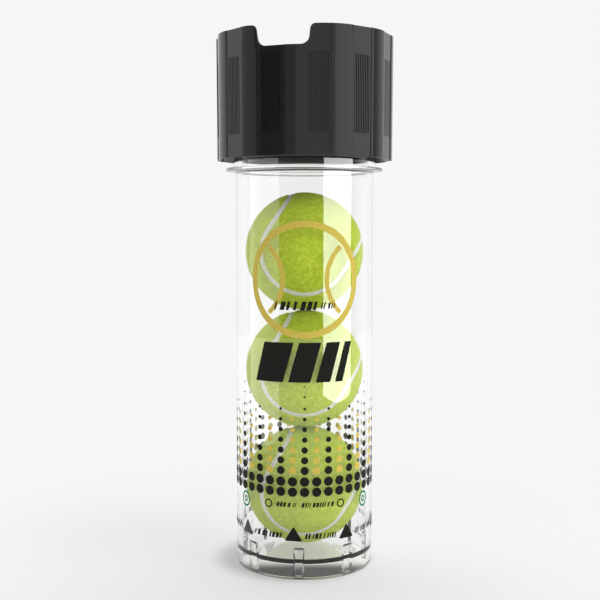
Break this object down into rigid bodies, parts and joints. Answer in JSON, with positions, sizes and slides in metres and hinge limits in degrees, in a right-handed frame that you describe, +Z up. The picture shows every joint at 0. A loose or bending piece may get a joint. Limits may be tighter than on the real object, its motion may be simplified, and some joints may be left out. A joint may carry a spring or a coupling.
{
  "type": "tennis ball can",
  "caption": "Reusable clear tennis ball can with balls inside, a tall black screw lid with ribbed grip panels and a notched rim, and an inflation valve in the lid.",
  "frame": {"origin": "middle of the foot, on the surface that the can stands on", "axes": "+Z up along the can's axis, -Y towards the front of the can"},
  "size_m": [0.099, 0.099, 0.2968],
  "materials": {
    "clear_plastic": "clear, polished",
    "black_plastic": "satin moulded",
    "seal_rubber": "matt",
    "white_plastic": "waxy",
    "steel": "bright",
    "brass": "turned",
    "core_rubber": "matt",
    "felt": "fuzzy wool and nylon felt",
    "seam_rubber": "matt"
  },
  "bodies": {
    "can": {"tube": "clear_plastic"},
    "inner_cap": {"plug": "black_plastic", "plug_o_ring": "seal_rubber", "rim_gasket": "seal_rubber", "slip_washer": "white_plastic", "retaining_ring": "steel", "valve_stem": "brass", "valve_grommet": "seal_rubber", "valve_washer": "steel", "valve_nut": "brass", "valve_core": "brass", "valve_spring": "steel"},
    "lid": {"crown": "black_plastic"},
    "pin": {"valve_pin": "steel"},
    "ball_bottom": {"bottom_ball_core_lower": "core_rubber", "bottom_ball_core_upper": "core_rubber", "bottom_ball_felt_a": "felt", "bottom_ball_felt_b": "felt", "bottom_ball_seam": "seam_rubber"},
    "ball_middle": {"middle_ball_core_lower": "core_rubber", "middle_ball_core_upper": "core_rubber", "middle_ball_felt_a": "felt", "middle_ball_felt_b": "felt", "middle_ball_seam": "seam_rubber"},
    "ball_top": {"top_ball_core_lower": "core_rubber", "top_ball_core_upper": "core_rubber", "top_ball_felt_a": "felt", "top_ball_felt_b": "felt", "top_ball_seam": "seam_rubber"}
  },
  "joints": [
    {"name": "lid_rise", "type": "slide", "parent": "can", "child": "inner_cap", "axis": [0, 0, 1], "range_m": [0, 0.0361]},
    {"name": "lid_turn", "type": "hinge", "parent": "inner_cap", "child": "lid", "pos_m": [0, 0, 0.255], "axis": [0, 0, 1], "range_deg": [0, 1080]},
    {"name": "valve_press", "type": "slide", "parent": "inner_cap", "child": "pin", "axis": [0, 0, -1], "range_m": [0, 0.0015], "stiffness_N_per_m": 800, "springref_m": -0.002, "deforming": ["valve_spring"]},
    {"name": "bottom_ball_lift", "type": "slide", "parent": "can", "child": "ball_bottom", "axis": [0, 0, 1], "range_m": [0, 0.012]},
    {"name": "middle_ball_lift", "type": "slide", "parent": "ball_bottom", "child": "ball_middle", "axis": [0, 0, 1], "range_m": [0, 0.012]},
    {"name": "top_ball_lift", "type": "slide", "parent": "ball_middle", "child": "ball_top", "axis": [0, 0, 1], "range_m": [0, 0.012]}
  ],
  "couplings": [
    {"joint": "lid_rise", "follows": "lid_turn", "m_per_rad": 0.0019099}
  ]
}
